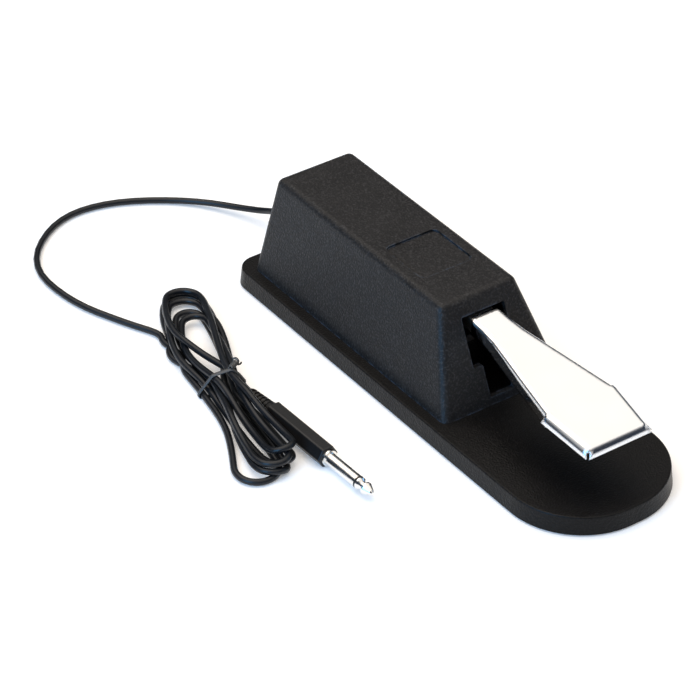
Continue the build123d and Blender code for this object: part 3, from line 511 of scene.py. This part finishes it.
def away_from_plug(along):
    """How far each point must move sideways to clear the plug that lies beside the hank."""
    start, end = (np.array(place) for place in PLUG_AXIS)
    axis = end - start
    share = ((along - start) @ axis / (axis @ axis))[:, None]
    out = along - (start + share * axis)
    distance = np.linalg.norm(out, axis=1, keepdims=True) + 1e-9
    depth = np.maximum(PLUG_RADIUS + CORD_DIAMETER / 2 - distance, 0)
    return depth * out / distance * ((share > PLUG_SPAN[0]) & (share < PLUG_SPAN[1]))


def settle(before, hank, after):
    """Let the hank's strands sink onto the floor and each other without passing through."""
    first, last = len(before), len(before) + len(hank)
    points = np.vstack([before, hank[:, :3], after])
    home = points.copy()
    bent = np.zeros((len(points), 1))
    bent[first:last, 0] = hank[:, 3]
    bend = np.zeros_like(points)
    bend[1:-1] = 0.5 * (home[:-2] + home[2:]) - home[1:-1]
    bend[:, 2] = 0
    bend *= bent
    weights = spline_weights(len(points))
    spread = (weights / (weights**2).sum(1, keepdims=True)).T
    order = np.arange(len(weights))
    apart = np.triu(np.abs(order[:, None] - order[None, :]) > NEIGHBOURS)
    floor = CORD_DIAMETER / 2 + FLOOR_GAP
    for step in range(SETTLE_ROUNDS):
        along = weights @ points
        if step % SEARCH_ROUNDS == 0:
            squares = (along**2).sum(1)
            distance2 = squares[:, None] + squares[None, :] - 2 * along @ along.T
            one, two = np.nonzero((distance2 < (SEARCH_REACH * CORD_DIAMETER) ** 2) & apart)
        way = along[one] - along[two]
        length = np.linalg.norm(way, axis=1, keepdims=True) + 1e-9
        gap = np.maximum(STRAND_GAP * CORD_DIAMETER - length, 0)
        push = np.zeros_like(along)
        np.add.at(push, one, 0.5 * gap * way / length)
        np.add.at(push, two, -0.5 * gap * way / length)
        touching = np.zeros(len(along))
        np.add.at(touching, one, gap[:, 0] > 0)
        np.add.at(touching, two, gap[:, 0] > 0)
        push /= np.maximum(touching, 1)[:, None] ** CROWDING
        push[:, 2] += np.maximum(floor - along[:, 2], 0)
        push += away_from_plug(along)
        smooth = np.zeros_like(points)
        smooth[1:-1] = 0.5 * (points[:-2] + points[2:]) - points[1:-1] - bend[1:-1]
        pull = (home - points) * HOLD * (1 - HOLD_FADE * step / SETTLE_ROUNDS)
        move = PUSH_SHARE * spread @ push + smooth * SMOOTH + pull
        move[:, 2] -= SINK
        points[first:last] += move[first:last]
        points[first:last, 2] = np.maximum(points[first:last, 2], floor)
    return points


def make_cord():
    """The cord's spline: the CAD model's free loop, then the hank, then the plug's end."""
    points = settle(np.array(CORD_ROUTE, float), lay_out_hank(), np.array(PLUG_END, float))
    data = bpy.data.curves.new("cord_line", "CURVE")
    data.dimensions = "3D"
    spline = data.splines.new("NURBS")
    spline.points.add(len(points) - 1)
    for point, place in zip(spline.points, points):
        point.co = (*(place * MM), 1.0)
    spline.order_u = 3
    spline.use_endpoint_u = True
    spline.resolution_u = CORD_STEPS
    data.bevel_depth = CORD_DIAMETER / 2 * MM
    data.bevel_resolution = CORD_ROUNDNESS
    data.use_fill_caps = True
    cord = bpy.data.objects.new("cord_line", data)
    bpy.context.scene.collection.objects.link(cord)
    return cord


def centreline(cord):
    """Points along the cord's spline, in millimetres."""
    bare = cord.data.copy()
    bare.bevel_depth = 0
    thread = bpy.data.objects.new("thread", bare)
    bpy.context.scene.collection.objects.link(thread)
    bpy.context.view_layer.update()
    mesh = bpy.data.meshes.new_from_object(thread.evaluated_get(bpy.context.evaluated_depsgraph_get()))
    points = np.array([vertex.co for vertex in mesh.vertices]) / MM
    bpy.data.objects.remove(thread)
    bpy.data.curves.remove(bare)
    bpy.data.meshes.remove(mesh)
    return points


def sweep(name, rings, closed=False):
    """A mesh through rings of points, in millimetres; its two ends are capped unless closed."""
    count = len(rings[0])
    vertices = [Vector(point) * MM for ring in rings for point in ring]
    faces = []
    for row in range(len(rings) if closed else len(rings) - 1):
        first, second = row * count, (row + 1) % len(rings) * count
        for column in range(count):
            after = (column + 1) % count
            faces.append((first + column, first + after, second + after, second + column))
    if not closed:
        faces.append(tuple(reversed(range(count))))
        faces.append(tuple((len(rings) - 1) * count + column for column in range(count)))
    mesh = bpy.data.meshes.new(name)
    mesh.from_pydata(vertices, [], faces)
    work = bmesh.new()
    work.from_mesh(mesh)
    bmesh.ops.recalc_face_normals(work, faces=work.faces)
    work.to_mesh(mesh)
    work.free()
    mesh.shade_smooth()
    piece = bpy.data.objects.new(name, mesh)
    bpy.context.scene.collection.objects.link(piece)
    return piece


def rings_along(path, across, profile):
    """Rings of a profile of (sideways, outward) points along a path. across gives each point's
    sideways direction; outward is at right angles to it and to the path."""
    rings = []
    for index, (point, side) in enumerate(zip(path, across)):
        ahead = path[min(index + 1, len(path) - 1)] - path[max(index - 1, 0)]
        out = side.cross(ahead).normalized()
        rings.append([point + side * x + out * y for x, y in profile])
    return rings


# ---- Tie and spring


def strands_at_tie(line):
    """Where the cord crosses the tie's plane: (place along the tie, height) of each strand."""
    along = Vector((math.cos(TIE_TURN), math.sin(TIE_TURN), 0))
    ahead = Vector((-along.y, along.x, 0))
    centre = Vector((*TIE, 0))
    offsets = [Vector(point) - centre for point in line]
    found = []
    for one, two in zip(offsets, offsets[1:]):
        before, after = one.dot(ahead), two.dot(ahead)
        if before * after < 0 and one.xy.length < TIE_REACH:
            crossing = one + (two - one) * (before / (before - after))
            found.append((crossing.dot(along), crossing.z))
    return found, centre, along, ahead


def make_tie(line):
    """A paper-covered wire strip pulled round the strands, its ends twisted together on top."""
    strands, centre, along, ahead = strands_at_tie(line)
    radius = CORD_DIAMETER / 2 + TIE_SLACK
    outline = []
    for index in range(TIE_POINTS):
        angle = 2 * math.pi * index / TIE_POINTS
        reach = [place * math.cos(angle) + height * math.sin(angle) for place, height in strands]
        place, height = strands[reach.index(max(reach))]
        height = max(height + radius * math.sin(angle), TIE_LOWEST)
        outline.append(centre + along * (place + radius * math.cos(angle)) + Vector((0, 0, height)))
    kept = [outline[0]]
    for point in outline[1:]:
        if (point - kept[-1]).length > TIE_POINT_GAP:
            kept.append(point)
    middle = sum(kept, Vector()) / len(kept)
    rings = []
    for index, point in enumerate(kept):
        forward = kept[(index + 1) % len(kept)] - kept[index - 1]
        out = ahead.cross(forward).normalized()
        if out.dot(point - middle) < 0:
            out = -out
        rings.append([point + ahead * x + out * y for x, y in TIE_PROFILE])
    loop = sweep("tie_loop", rings, closed=True)
    top = max(strands, key=lambda strand: strand[1] + TWIST_SIDE * strand[0])
    start = centre + along * top[0] + Vector((0, 0, top[1] + radius + TWIST_RADIUS + TWIST_LIFT))
    slant = (ahead * TWIST_SLANT[0] + along * TWIST_SLANT[1]).normalized()
    ends = []
    for side in (0, 1):
        path, across = [], []
        for index in range(TWIST_STEPS + 1):
            share = index / TWIST_STEPS
            angle = 2 * math.pi * TWIST_TURNS * share + math.pi * side
            spread = TWIST_RADIUS * (1 + TWIST_OPENS[1] * max(share - TWIST_OPENS[0], 0))
            turned = slant.cross(UP) * math.cos(angle) + UP * math.sin(angle)
            centre_line = start + slant * (TWIST_LENGTH * share) - UP * (TWIST_DROP * share)
            path.append(centre_line + turned * spread)
            across.append(slant.cross(turned).normalized().lerp(slant, TWIST_ROLL).normalized())
        flat = [(x * TWIST_NARROW, y) for x, y in TIE_PROFILE]
        ends.append(sweep(f"tie_end_{side}", rings_along(path, across, flat)))
    return join([loop, *ends], "tie_strip")


def join(pieces, name):
    """One mesh object made of several, which are removed."""
    work = bmesh.new()
    for piece in pieces:
        work.from_mesh(piece.data)
        bpy.data.objects.remove(piece)
    mesh = bpy.data.meshes.new(name)
    work.to_mesh(mesh)
    work.free()
    piece = bpy.data.objects.new(name, mesh)
    bpy.context.scene.collection.objects.link(piece)
    return piece


def make_spring():
    """The return spring between its cup and the lever arm, with closed end turns."""
    low, high = (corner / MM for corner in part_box("return_spring"))
    centre = (low + high) / 2
    radius = (high.x - low.x) / 2 - SPRING_WIRE
    bottom, top = low.z + SPRING_WIRE, high.z - SPRING_WIRE
    open_height = top - bottom - 2 * SPRING_CLOSED * SPRING_LAY
    total = SPRING_TURNS + 2 * SPRING_CLOSED
    rings = []
    for index in range(int(total * SPRING_STEPS) + 1):
        turn = index / SPRING_STEPS
        open_share = min(max((turn - SPRING_CLOSED) / SPRING_TURNS, 0), 1)
        closed = min(turn, SPRING_CLOSED) + max(turn - SPRING_CLOSED - SPRING_TURNS, 0)
        height = bottom + closed * SPRING_LAY + open_share * open_height
        angle = 2 * math.pi * turn
        out = Vector((math.cos(angle), math.sin(angle), 0))
        middle = Vector((centre.x, centre.y, height)) + out * radius
        ring = []
        for corner in range(SPRING_SIDES):
            around = 2 * math.pi * corner / SPRING_SIDES
            ring.append(middle + (out * math.cos(around) + UP * math.sin(around)) * SPRING_WIRE)
        rings.append(ring)
    return sweep("spring_coil", rings)


# ---- The scene

add_camera()
cord = make_cord()
line = centreline(cord)
jacket = cord_finish()
cord.data.materials.append(jacket)
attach(cord, "base")
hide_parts("cord", "cord_hank")

tie = make_tie(line)
tie.data.materials.append(
    surface("tie_paper", (0.060, 0.060, 0.060), 0.5, grain=0.5, grain_mm=0.5, mottle=0.2, mottle_mm=2.5)
)
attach(tie, "base")
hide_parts("twist_tie")

spring = make_spring()
spring.data.materials.append(
    surface(
        "spring_steel", (0.42, 0.42, 0.43), 0.28, metallic=1.0, grain=0.2, grain_mm=0.3, mottle=0.15,
        mottle_mm=4,
    )
)
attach(spring, "base")
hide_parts("return_spring")
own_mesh(spring)

paint_frame()
paint(jacket, "inner_cord")

floor_finish = surface(
    "pale_floor", (0.88, 0.88, 0.88), 0.85, grain=0.05, grain_mm=2, mottle=0.01, mottle_mm=200,
    rough_spread=0.02,
)
glow = floor_finish.node_tree.nodes["Principled BSDF"].inputs
glow["Emission Color"].default_value = (1, 1, 1, 1)
glow["Emission Strength"].default_value = FLOOR_GLOW
add_floor(floor_finish)
add_sky(SKY_STRENGTH)
add_area_light("overhead", *OVERHEAD)
add_area_light("left_soft", *LEFT_SOFT)
bpy.context.scene.view_settings.view_transform = "Standard"
